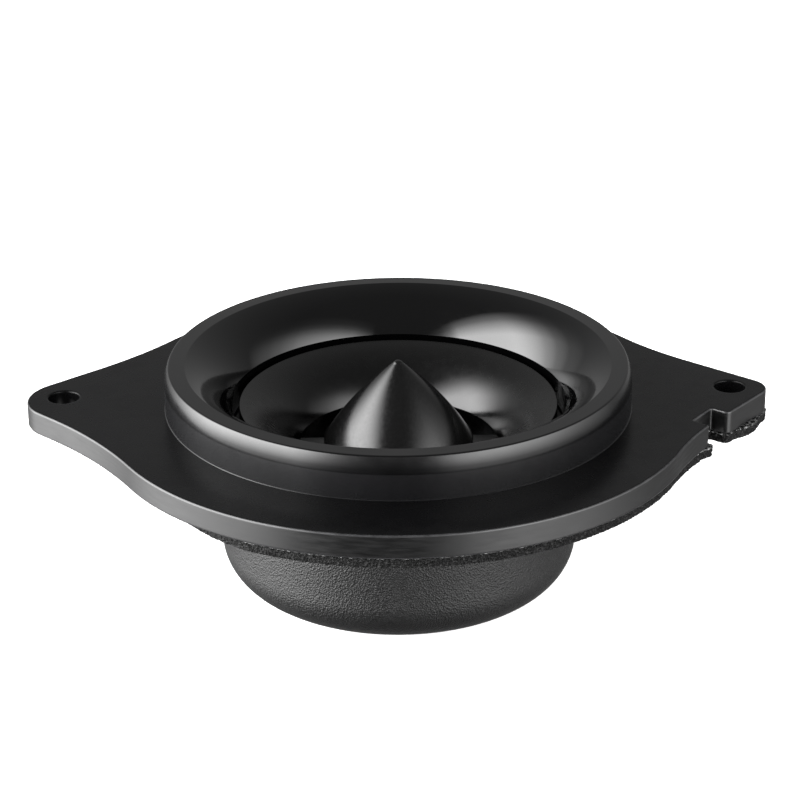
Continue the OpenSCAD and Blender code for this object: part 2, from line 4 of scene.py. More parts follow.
import bmesh
import bpy
from mathutils import Matrix, Vector, noise
from mathutils.geometry import tessellate_polygon


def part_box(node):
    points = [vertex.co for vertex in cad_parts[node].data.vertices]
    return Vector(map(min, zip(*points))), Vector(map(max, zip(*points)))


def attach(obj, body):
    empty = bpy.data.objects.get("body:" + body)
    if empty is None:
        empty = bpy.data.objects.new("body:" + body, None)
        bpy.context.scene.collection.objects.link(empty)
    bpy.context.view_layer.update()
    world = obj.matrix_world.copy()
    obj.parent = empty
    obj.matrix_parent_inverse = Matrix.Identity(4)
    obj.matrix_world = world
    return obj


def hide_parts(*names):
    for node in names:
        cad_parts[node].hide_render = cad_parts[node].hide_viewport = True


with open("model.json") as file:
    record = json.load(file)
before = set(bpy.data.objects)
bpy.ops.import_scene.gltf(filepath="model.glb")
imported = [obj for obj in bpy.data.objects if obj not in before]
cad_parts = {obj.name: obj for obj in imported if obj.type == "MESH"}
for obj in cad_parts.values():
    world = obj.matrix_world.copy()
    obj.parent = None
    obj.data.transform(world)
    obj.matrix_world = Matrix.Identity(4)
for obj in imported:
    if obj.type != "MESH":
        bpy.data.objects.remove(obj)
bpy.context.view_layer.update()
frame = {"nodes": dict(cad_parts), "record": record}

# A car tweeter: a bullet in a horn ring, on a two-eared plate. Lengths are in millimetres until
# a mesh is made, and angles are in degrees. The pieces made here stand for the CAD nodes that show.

MM = 0.001


def node_box(node):
    """Lowest and highest corners of a CAD node, in millimetres."""
    return [Vector([round(value / MM, 3) for value in corner]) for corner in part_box(node)]


# ---------------------------------------------------------------- driving dimensions

plate_low, plate_high = node_box("mounting_plate")
gasket_low, gasket_high = node_box("foam_gasket")
ring_low, ring_high = node_box("horn_ring")
bowl_low, bowl_high = node_box("horn_bowl")
seal_low, seal_high = node_box("bowl_gasket")
bullet_low, bullet_high = node_box("bullet_plug")
spider_high = node_box("plug_spider")[1]
can_low, can_high = node_box("rear_can")
board_low, board_high = node_box("terminal_board")
pad_low, pad_high = node_box("damping_pad")

# Plate: a disc in the middle, a round left ear and a square right one with a keying notch
EAR_BACK = 3.2
EAR_HALF_SPACING = 54.1
EAR_HOLE_R = 2.5
DISC_C = Vector((0, -1.6))
DISC_R = 47.4
LEFT_TIP_R = 7.7
RIGHT_TIP_R = 3.6
LEFT_TIP = Vector((plate_low.x + LEFT_TIP_R, EAR_BACK - 0.9))
RIGHT_TIP = Vector((plate_high.x - RIGHT_TIP_R, EAR_BACK - 0.3))
LEFT_BACK_FACES = 130.3
LEFT_FRONT_FACES = 225.5
RIGHT_BACK_FACES = 48.8
RIGHT_FRONT_FACES = -40
LEFT_BLEND_R = 75
RIGHT_BLEND_R = 56
NOTCH_C = Vector((50.6, -9.7))
NOTCH_FACES = -38
NOTCH_HALF_W = 2.9
NOTCH_DEPTH = 3.1
NOTCH_LIP_R = 1.0
NOTCH_CORNER_R = 0.35
PLATE_EDGE_R = 0.3
FLAT_FROM = 0.98
CUTOUT_R = 32
DIAGONALS = (45, 135, 225, 315)
CAN_SCREW_PITCH_R = 34.8
CAN_SCREW_HOLE_R = 1.4

# Foam: its edge is drawn in at the front left, and bulges beside the notch and at the right ear
FOAM_INSET = 0.6
FOAM_EAR_OUT = gasket_high.x - plate_high.x + FOAM_INSET
FOAM_LOBE = 0.8
FOAM_HOLE_R = 3
FOAM_CORNER_R = 0.9
FOAM_BORE_R = can_high.x + 0.6
FOAM_STEP = 0.22
FOAM_ROWS = 11
FILM_T = 0.25
FOAM_SHORT = 2.2
FOAM_SHORT_FROM = 165
FOAM_SHORT_TO = 242
FOAM_SHORT_FADE = 26
LOBE_BULGE_REACH = 2.6
LOBE_BULGE = 0.7
EAR_BULGE_C = RIGHT_TIP + Vector((0.3, -5.9))
EAR_BULGE_REACH = 4.7
EAR_BULGE = 1.0

# Horn ring and bowl. The ring's soft shoulder, its crown, ends in a polished line at the top
CROWN_H = 2.8
CROWN_IN = 0.7
CROWN_LINE = 0.15
CROWN_POLISHED = 0.72
RIM_EDGE_R = 0.35
FOOT_BEAD = 0.1
RIM_INNER_R = 34.15
FLARE_TURN = 20
RING_BORE_R = 26.95
RING_LIP_Z = plate_high.z + 0.4
SPIGOT_R = CUTOUT_R - 0.2
BOWL_LIP_R = 25.65
BOWL_TURN = 26
THROAT_R = 16
THROAT_Z = spider_high.z
BOWL_FLANGE_Z = seal_low.z - 0.8
SPIDER_SEAT_H = 2.8
SEAL_W = 1.25
MOULDED_R = 0.1

# Bullet
BULLET_TIP_R = 0.8
BULLET_NOSE_R = 1.25 * BULLET_TIP_R
BULLET_NOSE_DROP = 0.5 * BULLET_TIP_R
BULLET_SKIRT_H = 0.7
BULLET_TURN = 8.4

# Can, terminal board and screws
CAN_R = 29
CAN_WALL = 1.8
CAN_FLOOR_T = 2
CAN_EDGE_R = 7.5
CAN_FLANGE_Z = 0.3
CAN_BOSS_HALF_W = 11
CAN_BOSS_HALF_H = 6
CAN_BOSS_SOFT = 0.35
CAN_STEPS = 600
BOARD_Z = (board_low.z + board_high.z) / 2
BOARD_T = 1.6
BOARD_PLUG_HALF_W = 7.4
BOARD_PLUG_HALF_H = 3.5
BOSS_Y = board_high.y - BOARD_T
TERMINAL_X = 4.6
BLADE_SLOTS = ((TERMINAL_X, 0.45, 2.45), (-TERMINAL_X, 0.3, 1.45))    # x, half width, half height
BOARD_SCREW_X = 8.9
BOARD_SCREW_HOLE_R = 0.8
CAN_SCREW_R = 1.2
CAN_SCREW_HEAD_R = 2.2
BOARD_SCREW_R = 0.75
BOARD_SCREW_HEAD_R = 1.3

# Voice coil and floor
COIL_WIRE_D = 0.12
FLOOR_GAP = 0.02
FLOOR_R = 3000


# ---------------------------------------------------------------- outlines

def polar(r, angle):
    """Point at a radius and an angle."""
    return Vector((r * math.cos(math.radians(angle)), r * math.sin(math.radians(angle))))


def arc(centre, r, start, end, step=1.5):
    """Points along an arc, both ends included."""
    steps = max(2, math.ceil(abs(end - start) / step))
    return [centre + polar(r, start + (end - start) * k / steps) for k in range(steps + 1)]


def arc_between(p, q, turn, steps):
    """Points along an arc from p to q that turns through twice `turn`, with its centre at the right."""
    p, q = Vector(p), Vector(q)
    way = (q - p).normalized()
    radius = (q - p).length / (2 * math.sin(math.radians(turn)))
    centre = (p + q) / 2 + Vector((way.y, -way.x)) * radius * math.cos(math.radians(turn))
    start = math.degrees(math.atan2(p.y - centre.y, p.x - centre.x))
    return [centre + polar(radius, start - 2 * turn * k / steps) for k in range(steps + 1)]


def circle(centre, r, steps=96, clockwise=False):
    """Points round a circle."""
    turn = -360 if clockwise else 360
    return [Vector(centre) + polar(r, turn * k / steps) for k in range(steps)]


def eased(share):
    """A share held between 0 and 1, with a soft start and end."""
    share = min(1, max(0, share))
    return share * share * (3 - 2 * share)


def turn_near(angle, near):
    """The same direction as `angle`, counted so that it lies within half a turn of `near`."""
    return near + (angle - near + 540) % 360 - 180


def direction(v):
    """Angle of a vector."""
    return math.degrees(math.atan2(v.y, v.x))


def flank(tip, tip_r, faces, blend_r, side, inset):
    """The hollow blend between an ear's straight flank and the plate's round middle."""
    start = tip + polar(tip_r - inset, faces)
    way = polar(1, faces + 90 * side)
    base = start + polar(blend_r + inset, faces) - DISC_C
    along = base.dot(way)
    reach = blend_r + DISC_R
    centre = DISC_C + base - way * (along + math.sqrt(along ** 2 - base.dot(base) + reach ** 2))
    straight_end = faces + 180
    return arc(centre, blend_r + inset, straight_end, turn_near(direction(DISC_C - centre), straight_end))


def disc_between(start, end, near, inset):
    """Points round the plate's middle between two points on it, without those two."""
    first = turn_near(direction(start - DISC_C), near)
    last = turn_near(direction(end - DISC_C), near)
    return arc(DISC_C, DISC_R - inset, first, last)[1:-1]


def plate_points():
    """Outline of the plate, counter-clockwise from the right ear."""
    right_back = flank(RIGHT_TIP, RIGHT_TIP_R, RIGHT_BACK_FACES, RIGHT_BLEND_R, 1, 0)
    left_back = flank(LEFT_TIP, LEFT_TIP_R, LEFT_BACK_FACES, LEFT_BLEND_R, -1, 0)
    left_front = flank(LEFT_TIP, LEFT_TIP_R, LEFT_FRONT_FACES, LEFT_BLEND_R, 1, 0)
    right_front = flank(RIGHT_TIP, RIGHT_TIP_R, RIGHT_FRONT_FACES, RIGHT_BLEND_R, -1, 0)
    return (
        arc(RIGHT_TIP, RIGHT_TIP_R, RIGHT_FRONT_FACES, RIGHT_BACK_FACES, 6)
        + right_back
        + disc_between(right_back[-1], left_back[-1], 90, 0)
        + left_back[::-1]
        + arc(LEFT_TIP, LEFT_TIP_R, LEFT_BACK_FACES, LEFT_FRONT_FACES, 4)
        + left_front
        + disc_between(left_front[-1], right_front[-1], 270, 0)
        + right_front[::-1]
    )


def foam_points():
    """Outline of the foam, which leaves the left ear bare and stands flush under the right one."""
    tip = RIGHT_TIP + Vector((FOAM_EAR_OUT, 0))
    back = flank(tip, RIGHT_TIP_R, RIGHT_BACK_FACES, RIGHT_BLEND_R, 1, FOAM_INSET)
    front = flank(tip, RIGHT_TIP_R, RIGHT_FRONT_FACES, RIGHT_BLEND_R, -1, FOAM_INSET)
    return (
        arc(tip, RIGHT_TIP_R - FOAM_INSET, RIGHT_FRONT_FACES, RIGHT_BACK_FACES, 6)
        + back
        + disc_between(back[-1], front[-1], 180, FOAM_INSET)
        + front[::-1]
    )


def filled(loop, longest=1.0):
    """A closed outline with points added so that no edge is longer than `longest`."""
    points = []
    for p, q in zip(loop, loop[1:] + loop[:1]):
        parts = max(1, math.ceil((q - p).length / longest))
        points += [p.lerp(q, k / parts) for k in range(parts)]
    return points


def cut_notch(loop, depth, lobe, lip_r, corner_r):
    """The outline with the keying notch cut into it, as (point, corner radius) pairs. `lobe` is
    how far the left wall of the notch stands inside it."""
    loop = filled(loop)
    way = polar(1, NOTCH_FACES)
    across = polar(1, NOTCH_FACES + 90)
    left, right = lobe - NOTCH_HALF_W, NOTCH_HALF_W

    def inside(p):
        return left < (p - NOTCH_C).dot(across) < right and (p - NOTCH_C).dot(way) > -depth

    result = []
    for p, q in zip(loop, loop[1:] + loop[:1]):
        if not inside(p):
            result.append((p, 0))
        if inside(p) == inside(q):
            continue
        v_p, v_q = (p - NOTCH_C).dot(across), (q - NOTCH_C).dot(across)
        v = right if (v_p if inside(q) else v_q) > 0 else left
        lip = (p + (q - p) * (v - v_p) / (v_q - v_p), lip_r if v > 0 else corner_r)
        foot = (NOTCH_C - way * depth + across * v, corner_r)
        result += [lip, foot] if inside(q) else [foot, lip]
    return cleared(result)


def cleared(corners):
    """The same (point, radius) pairs without the plain points that a rounded corner reaches."""
    rounded = [(corner, r) for corner, r in corners if r]
    return [
        (p, r) for p, r in corners
        if r or all((p - corner).length > 2 * reach for corner, reach in rounded)
    ]


def round_corners(corners, support=0.4):
    """A closed outline from (point, radius) pairs. Each rounded corner has a short straight lead
    on both sides, which keeps the shading of the flats beside it clean."""
    points = []
    count = len(corners)
    for k, (corner, r) in enumerate(corners):
        if not r:
            points.append(Vector(corner))
            continue
        corner = Vector(corner)
        back = (Vector(corners[k - 1][0]) - corner).normalized()
        ahead = (Vector(corners[(k + 1) % count][0]) - corner).normalized()
        half = back.angle(ahead) / 2
        centre = corner + (back + ahead).normalized() * r / math.sin(half)
        run = r / math.tan(half)
        start, end = corner + back * run, corner + ahead * run
        sweep = (start - centre).angle_signed(end - centre) * -1
        steps = max(3, math.ceil(abs(math.degrees(sweep)) / 12))
        points.append(corner + back * (run + support * r))
        points += [
            centre + Matrix.Rotation(sweep * i / steps, 2) @ (start - centre) for i in range(steps + 1)
        ]
        points.append(corner + ahead * (run + support * r))
    return points


def resample(loop, step):
    """Points at even steps round a closed outline."""
    edges = list(zip(loop, loop[1:] + loop[:1]))
    total = sum((q - p).length for p, q in edges)
    count = round(total / step)
    points, walked, k = [], 0, 0
    for p, q in edges:
        length = (q - p).length
        while k < count and walked + length > k * total / count:
            points.append(p.lerp(q, (k * total / count - walked) / length))
            k += 1
        walked += length
    return points


def inset_loop(loop, distance):
    """A closed outline moved to its left by `distance`."""
    moved = []
    for before, point, after in zip(loop[-1:] + loop[:-1], loop, loop[1:] + loop[:1]):
        first, second = (point - before).normalized(), (after - point).normalized()
        normals = Vector((-first.y, first.x)), Vector((-second.y, second.x))
        moved.append(point + (normals[0] + normals[1]) * distance / (1 + normals[0].dot(normals[1])))
    return moved


# ---------------------------------------------------------------- meshes

def bridge(rings, closed=False):
    """Faces between rings of vertex numbers. A ring may be one vertex repeated."""
    faces = []
    pairs = zip(rings, rings[1:] + rings[:1]) if closed else zip(rings, rings[1:])
    for a, b in pairs:
        count = len(a)
        for k in range(count):
            quad = (a[k], a[(k + 1) % count], b[(k + 1) % count], b[k])
            face = tuple(dict.fromkeys(quad))
            if len(face) > 2:
                faces.append(face)
    return faces


def lathe(profile, steps):
    """A closed profile of (radius, height) points turned round the axis."""
    verts, rings = [], []
    for r, z in profile:
        start = len(verts)
        if r < 1e-6:
            verts.append((0, 0, z))
            rings.append([start] * steps)
            continue
        verts += [(*polar(r, 360 * k / steps), z) for k in range(steps)]
        rings.append(list(range(start, start + steps)))
    return verts, bridge(rings, closed=True)


def edge_profile(bottom, top, r, steps=4):
    """(inset, height) pairs up a wall with rounded edges, from the lower cap to the upper one."""
    turns = [math.radians(90 * k / steps) for k in range(steps + 1)]
    lower = [(r * (1 - math.sin(a)), bottom + r * (1 - math.cos(a))) for a in turns]
    upper = [(r * (1 - math.cos(a)), top - r * (1 - math.sin(a))) for a in turns]
    lead = 0.5 * r
    return (
        [(r + lead, bottom)] + lower + [(0, bottom + r + lead), (0, top - r - lead)]
        + upper + [(r + lead, top)]
    )


def slab(loops, profile, shift=None):
    """A flat slab. The first loop is its outline, counter-clockwise, and the others are its holes,
    clockwise. `shift` may move each wall point sideways: it takes the point and its height."""
    verts, faces, rims = [], [], ([], [])
    for loop in loops:
        rings = []
        outward = [a - b for a, b in zip(loop, inset_loop(loop, 1))]
        for inset, z in profile:
            rings.append(list(range(len(verts), len(verts) + len(loop))))
            for point, normal, moved in zip(loop, outward, inset_loop(loop, inset)):
                push = shift(point, z) if shift else 0
                verts.append((*(moved + normal.normalized() * push), z))
        faces += bridge(rings)
        rims[0].append(rings[0])
        rims[1].append(rings[-1])
    for rim in rims:
        numbers = [n for ring in rim for n in ring]
        flat = [[Vector((*verts[n][:2], 0)) for n in ring] for ring in rim]
        faces += [tuple(numbers[i] for i in triangle) for triangle in tessellate_polygon(flat)]
    return verts, faces


def joined(*parts):
    """Several meshes as one."""
    verts, faces = [], []
    for more_verts, more_faces in parts:
        start = len(verts)
        verts += more_verts
        faces += [tuple(n + start for n in face) for face in more_faces]
    return verts, faces


def turned(axis, angle):
    """A turn about an axis, as a matrix."""
    return Matrix.Rotation(math.radians(angle), 4, axis)


def placed(part, matrix):
    """A mesh moved by a matrix."""
    return [tuple(matrix @ Vector(v)) for v in part[0]], part[1]


def new_object(name, part):
    """A smooth-shaded mesh object, in metres, with its faces turned outward."""
    mesh = bpy.data.meshes.new(name)
    mesh.from_pydata([Vector(v) * MM for v in part[0]], [], part[1])
    work = bmesh.new()
    work.from_mesh(mesh)
    bmesh.ops.recalc_face_normals(work, faces=work.faces)
    work.to_mesh(mesh)
    work.free()
    mesh.shade_smooth()
    mesh.set_sharp_from_angle(angle=math.radians(35))
    obj = bpy.data.objects.new(name, mesh)
    bpy.context.scene.collection.objects.link(obj)
    return obj


def new_piece(node, part, slot):
    """A detailed piece that stands for a CAD node of the root body and takes the look of its slot."""
    piece = new_object(f"{node}_detail", part)
    piece.data.materials.append(LOOKS[slot])
    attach(piece, "root")
    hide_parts(node)
    return piece


def dress(piece, look, wanted):
    """Gives the faces that pass a test a second look."""
    piece.data.materials.append(LOOKS[look])
    for face in piece.data.polygons:
        if wanted(face):
            face.material_index = len(piece.data.materials) - 1


def cut(piece, part):
    """Cuts a mesh out of a piece."""
    cutter = new_object("cutter", part)
    modifier = piece.modifiers.new("cut", "BOOLEAN")
    modifier.object = cutter
    modifier.operation = "DIFFERENCE"
    modifier.solver = "EXACT"
    graph = bpy.context.evaluated_depsgraph_get()
    mesh = bpy.data.meshes.new_from_object(piece.evaluated_get(graph))
    piece.modifiers.remove(modifier)
    piece.data = mesh
    mesh.set_sharp_from_angle(angle=math.radians(35))
    bpy.data.objects.remove(cutter)


def block(low, high):
    """A plain block, used as a cutter."""
    x, y, z = zip(low, high)
    verts = [(a, b, c) for a in x for b in y for c in z]
    faces = [(0, 1, 3, 2), (4, 6, 7, 5), (0, 4, 5, 1), (2, 3, 7, 6), (0, 2, 6, 4), (1, 5, 7, 3)]
    return verts, faces


# ---------------------------------------------------------------- materials

def add(tree, kind, links=(), **settings):
    """A node with its settings. `links` gives its named or numbered inputs a socket or a value."""
    node = tree.nodes.new(kind)
    for key, value in settings.items():
        setattr(node, key, value)
    for socket, source in links:
        if hasattr(source, "links"):
            tree.links.new(source, node.inputs[socket])
        else:
            node.inputs[socket].default_value = source
    return node


def ramp(tree, source, stops):
    """A colour ramp over a value, from (position, colour) stops."""
    node = add(tree, "ShaderNodeValToRGB", [("Fac", source)])
    elements = node.color_ramp.elements
    while len(elements) < len(stops):
        elements.new(0.5)
    for element, (position, value) in zip(elements, stops):
        element.position = position
        element.color = (*value, 1)
    return node.outputs["Color"]


class Look:
    """A Principled material whose patterns are sized in millimetres on the object."""

    def __init__(self, name, roughness, **sockets):
        self.material = bpy.data.materials.new(name)
        self.material.use_nodes = True
        self.tree = self.material.node_tree
        self.shader = self.tree.nodes["Principled BSDF"]
        self.place = add(self.tree, "ShaderNodeTexCoord").outputs["Object"]
        self.shader.inputs["Roughness"].default_value = roughness
        for socket, value in sockets.items():
            self.shader.inputs[socket.replace("_", " ")].default_value = value
        self.normal = None
        LOOKS[name] = self.material

    def stretched(self, x, y, z):
        """Object coordinates scaled along each axis."""
        return add(
            self.tree, "ShaderNodeMapping", [("Vector", self.place), ("Scale", (x, y, z))]
        ).outputs["Vector"]

    def height(self):
        """Height on the object."""
        return add(self.tree, "ShaderNodeSeparateXYZ", [("Vector", self.place)]).outputs["Z"]

    def noise(self, size, detail=3, place=None, rough=0.5):
        """Noise with features of about `size`."""
        return add(self.tree, "ShaderNodeTexNoise", [
            ("Vector", place or self.place), ("Scale", 1 / (size * MM)),
            ("Detail", detail), ("Roughness", rough),
        ]).outputs["Fac"]

    def cells(self, size):
        """Distance within cells of about `size`."""
        return add(self.tree, "ShaderNodeTexVoronoi", [
            ("Vector", self.place), ("Scale", 1 / (size * MM)),
        ]).outputs["Distance"]

    def scaled(self, source, low, high, to_low=0.0, to_high=1.0):
        """A value mapped from one range to another."""
        return add(self.tree, "ShaderNodeMapRange", [
            ("Value", source), ("From Min", low), ("From Max", high),
            ("To Min", to_low), ("To Max", to_high),
        ]).outputs["Result"]

    def combined(self, operation, a, b):
        """Two values put together by a sum, a product and so on."""
        return add(self.tree, "ShaderNodeMath", [(0, a), (1, b)], operation=operation).outputs[0]

    def colour(self, source, *stops):
        """Base colour from a value, through (position, colour) stops."""
        self.tree.links.new(ramp(self.tree, source, stops), self.shader.inputs["Base Color"])

    def gloss(self, source, low, high, smooth, rough):
        """Roughness that varies with a value."""
        result = self.scaled(source, low, high, smooth, rough)
        self.tree.links.new(result, self.shader.inputs["Roughness"])

    def relief(self, height, depth):
        """Surface relief of up to `depth`, laid over any relief there is."""
        bump = add(self.tree, "ShaderNodeBump", [
            ("Height", height), ("Distance", depth * MM), ("Strength", 1.0),
        ])
        if self.normal:
            self.tree.links.new(self.normal, bump.inputs["Normal"])
        self.normal = bump.outputs["Normal"]
        self.tree.links.new(self.normal, self.shader.inputs["Normal"])


LOOKS = {}


def grey(value, blue=0.0):
    """A grey, or one a little towards blue."""
    return (value, value, value * (1 + blue))


def gloss_black():
    """Moulded gloss plastic: deep black with faint ripple and hairline wear."""
    look = Look("ring", 0.07, Specular_IOR_Level=0.5)
    look.colour(look.noise(14, 2), (0.3, grey(0.0005, 0.1)), (0.7, grey(0.0010, 0.1)))
    look.gloss(look.noise(1.6, 4, look.stretched(1, 1, 6)), 0.35, 0.75, 0.055, 0.12)
    look.relief(look.noise(4.5, 1), 0.004)
    look.relief(look.noise(0.35, 2), 0.0004)


def soft_crown():
    """The ring's long shoulder, polished at the top and duller further down. Its specular level
    comes through a link, not from the shader's own socket."""
    look = Look("ring_crown", 0.22)
    look.colour(look.noise(7, 3), (0.3, grey(0.0015, 0.08)), (0.7, grey(0.0030, 0.08)))
    look.gloss(look.noise(2.2, 4), 0.3, 0.7, 0.21, 0.27)
    top = ring_high.z * MM
    polish = look.scaled(look.height(), top - CROWN_POLISHED * CROWN_H * MM, top, 0.16, 0.62)
    look.tree.links.new(polish, look.shader.inputs["Specular IOR Level"])
    look.relief(look.noise(0.14, 2), 0.0008)


def satin_wall():
    """The ring's outer wall: the same plastic with a satin skin."""
    look = Look("ring_wall", 0.24, Specular_IOR_Level=0.3)
    look.colour(look.noise(7, 3), (0.3, grey(0.0048, 0.08)), (0.7, grey(0.0062, 0.08)))
    look.gloss(look.noise(2.2, 4), 0.2, 0.8, 0.22, 0.28)
    look.relief(look.noise(0.14, 2), 0.0008)


def sheet_black():
    """Satin sheet plastic with a fine even sheen."""
    look = Look("plate", 0.26, Specular_IOR_Level=0.13)
    look.colour(look.noise(9, 3), (0.3, grey(0.0018, 0.08)), (0.75, grey(0.0028, 0.08)))
    look.gloss(look.noise(2.4, 5), 0.3, 0.7, 0.22, 0.32)
    look.relief(look.noise(0.12, 2), 0.0009)


def sawn_edge():
    """The sheet's cut edge: fine saw lines along it and a dull skin."""
    look = Look("plate_edge", 0.34, Specular_IOR_Level=0.45)
    saw = look.noise(0.45, 3, look.stretched(0.12, 0.12, 1))
    look.colour(saw, (0.3, grey(0.0008, 0.08)), (0.75, grey(0.002, 0.08)))
    look.gloss(saw, 0.3, 0.7, 0.28, 0.42)
    look.relief(saw, 0.003)
    look.relief(look.noise(0.15, 2), 0.0015)


def rim_painted_highlight():
    """The sheet's rounded edges, paler in colour: a painted highlight along them."""
    look = Look("plate_rim_painted_highlight", 0.3, Specular_IOR_Level=0.5)
    # Paler grey on the rounded edges: painted highlight.
    look.colour(look.noise(1.8, 4, rough=0.6), (0.3, grey(0.010, 0.05)), (0.75, grey(0.028, 0.05)))
    look.relief(look.noise(0.2, 2), 0.002)


def satin_bowl():
    """Moulded satin plastic with a fine spark-eroded texture, smoother towards the throat."""
    look = Look("bowl", 0.27, Specular_IOR_Level=0.4)
    look.colour(look.noise(5, 3), (0.3, grey(0.0006)), (0.75, grey(0.0013)))
    handled = look.scaled(look.noise(1.2, 3), 0.3, 0.7, -0.03, 0.03)
    rubbed = look.scaled(look.height(), (THROAT_Z + 1) * MM, (THROAT_Z + 5) * MM, 0.13, 0.26)
    look.gloss(look.combined("ADD", rubbed, handled), 0, 1, 0, 1)
    look.relief(look.noise(0.11, 2), 0.0022)


def bullet_paint():
    """Fine satin paint over a turned cone."""
    look = Look("bullet", 0.22, Specular_IOR_Level=0.5)
    look.colour(look.noise(0.3, 3), (0.3, grey(0.0008)), (0.8, grey(0.0020)))
    look.gloss(look.noise(0.5, 3), 0.3, 0.7, 0.17, 0.26)
    look.relief(look.noise(0.16, 2), 0.0032)
    look.relief(look.noise(0.5, 2, look.stretched(0.05, 0.05, 1)), 0.001)


def can_leather():
    """Moulded plastic with a fine leather grain."""
    look = Look("can", 0.4, Specular_IOR_Level=0.38)
    grain = look.cells(0.3)
    warped = look.combined("ADD", grain, look.scaled(look.noise(0.18, 2), 0.3, 0.7, 0, 0.5))
    look.colour(grain, (0.1, grey(0.0035)), (0.7, grey(0.0012)))
    look.gloss(look.noise(0.8, 2), 0.3, 0.7, 0.32, 0.42)
    look.relief(warped, 0.085)


def foam_painted_light():
    """Black cellular foam: torn cells, with painted shade in the cell hollows and painted glints on their
    walls.
    """
    look = Look("foam", 0.6, Specular_IOR_Level=0.15)
    pits_and_painted_light = look.cells(0.34)
    # Darker low stops in the cell hollows: painted shade. Bright top stop at the cell walls: painted
    # glints.
    look.colour(pits_and_painted_light, (0.15, grey(0.0004)), (0.6, grey(0.0025)), (0.85, grey(0.02)))
    look.gloss(look.noise(0.2, 2), 0.35, 0.65, 0.4, 0.85)
    look.relief(pits_and_painted_light, 0.16)
    look.relief(look.noise(0.12, 2), 0.03)


def film_painted_glints():
    """The thin clear film on the foam's top, black with bright patches where it's torn: painted glints."""
    look = Look("film_edge_painted_glints", 0.25, Specular_IOR_Level=0.5)
    # Bright top stop: painted glints on the torn film.
    look.colour(look.noise(0.5, 4, rough=0.6), (0.5, grey(0.002)), (0.62, grey(0.2)))
    look.relief(look.noise(0.3, 3), 0.03)


def rubber_black():
    """Matt soft seal."""
    look = Look("rubber", 0.65)
    look.colour(look.noise(0.4, 3), (0.3, grey(0.004)), (0.8, grey(0.010)))
    look.relief(look.cells(0.2), 0.02)


def moulded_black():
    """Moulded engineering plastic with a fine matt skin and glass-fibre mottling."""
    look = Look("moulding", 0.45)
    look.colour(look.noise(2.5, 4), (0.3, grey(0.012)), (0.75, grey(0.024)))
    look.gloss(look.noise(1.1, 4), 0.3, 0.7, 0.36, 0.52)
    look.relief(look.noise(0.14, 3), 0.006)


def plated(name, dark, light, roughness, line_depth=0.004):
    """Plated or bare metal with fine lines and a mottled coat."""
    look = Look(name, roughness, Metallic=1.0)
    look.colour(look.noise(1.8, 4), (0.3, dark), (0.7, light))
    look.gloss(look.noise(0.7, 4), 0.3, 0.7, roughness * 0.7, roughness * 1.3)
    look.relief(look.noise(0.35, 2, look.stretched(0.1, 0.1, 1)), line_depth)
    look.relief(look.noise(0.08, 2), 0.0008)


def wound_copper():
    """Lacquered copper: turns of fine wire side by side, darker between the turns as painted shade."""
    look = Look("copper", 0.28, Metallic=1.0, Coat_Weight=0.5)
    wave_length = 0.314      # of the wave texture at scale 1
    turns = add(look.tree, "ShaderNodeTexWave", [
        ("Vector", look.place), ("Scale", wave_length / (COIL_WIRE_D * MM)),
        ("Distortion", 0.15), ("Detail", 1.0),
    ], wave_type="BANDS", bands_direction="Z").outputs["Fac"]
    # Darker bands between the turns: painted shade.
    look.colour(turns, (0.1, (0.24, 0.09, 0.035)), (0.7, (0.72, 0.33, 0.15)))
    look.relief(turns, 0.05)


def amber_film():
    """The coil former's thin film, with a faint ripple."""
    look = Look("former", 0.25)
    look.colour(look.noise(1.5, 3), (0.3, (0.40, 0.24, 0.08)), (0.7, (0.55, 0.36, 0.14)))
    look.relief(look.noise(0.9, 2), 0.01)
    look.gloss(look.noise(0.6, 3), 0.3, 0.7, 0.18, 0.34)


def treated_cloth():
    """The surround's fine black cloth, sealed with a soft coating."""
    look = Look("film", 0.55, Sheen_Weight=0.1)
    threads = [
        look.noise(0.12, 1, look.stretched(*stretch)) for stretch in ((1, 0.08, 1), (0.08, 1, 1))
    ]
    weave = look.combined("MAXIMUM", *threads)
    look.colour(weave, (0.4, grey(0.003)), (0.7, grey(0.012)))
    look.relief(weave, 0.03)


def grey_felt():
    """Pressed felt: short fibres in all directions."""
    look = Look("felt", 0.95, Sheen_Weight=0.5)
    along = look.noise(0.25, 4, look.stretched(1, 0.25, 1))
    fibres = look.combined("MAXIMUM", along, look.noise(0.25, 4, look.stretched(0.25, 1, 1)))
    look.colour(fibres, (0.4, grey(0.05)), (0.7, grey(0.17)))
    look.relief(fibres, 0.12)


def shrink_sleeve():
    """The capacitor's shrink sleeve."""
    look = Look("capacitor", 0.3)
    look.colour(look.noise(3, 3), (0.3, (0.03, 0.05, 0.16)), (0.7, (0.05, 0.075, 0.22)))
    look.gloss(look.noise(0.8, 3), 0.3, 0.7, 0.22, 0.38)
    look.relief(look.noise(0.6, 3, look.stretched(0.3, 1, 1)), 0.012)


def wire_jacket(name, dark, light):
    """Extruded wire insulation."""
    look = Look(name, 0.35)
    look.colour(look.noise(1.5, 3), (0.3, dark), (0.7, light))
    look.gloss(look.noise(0.5, 3), 0.3, 0.7, 0.28, 0.42)
    look.relief(look.noise(0.2, 2), 0.004)


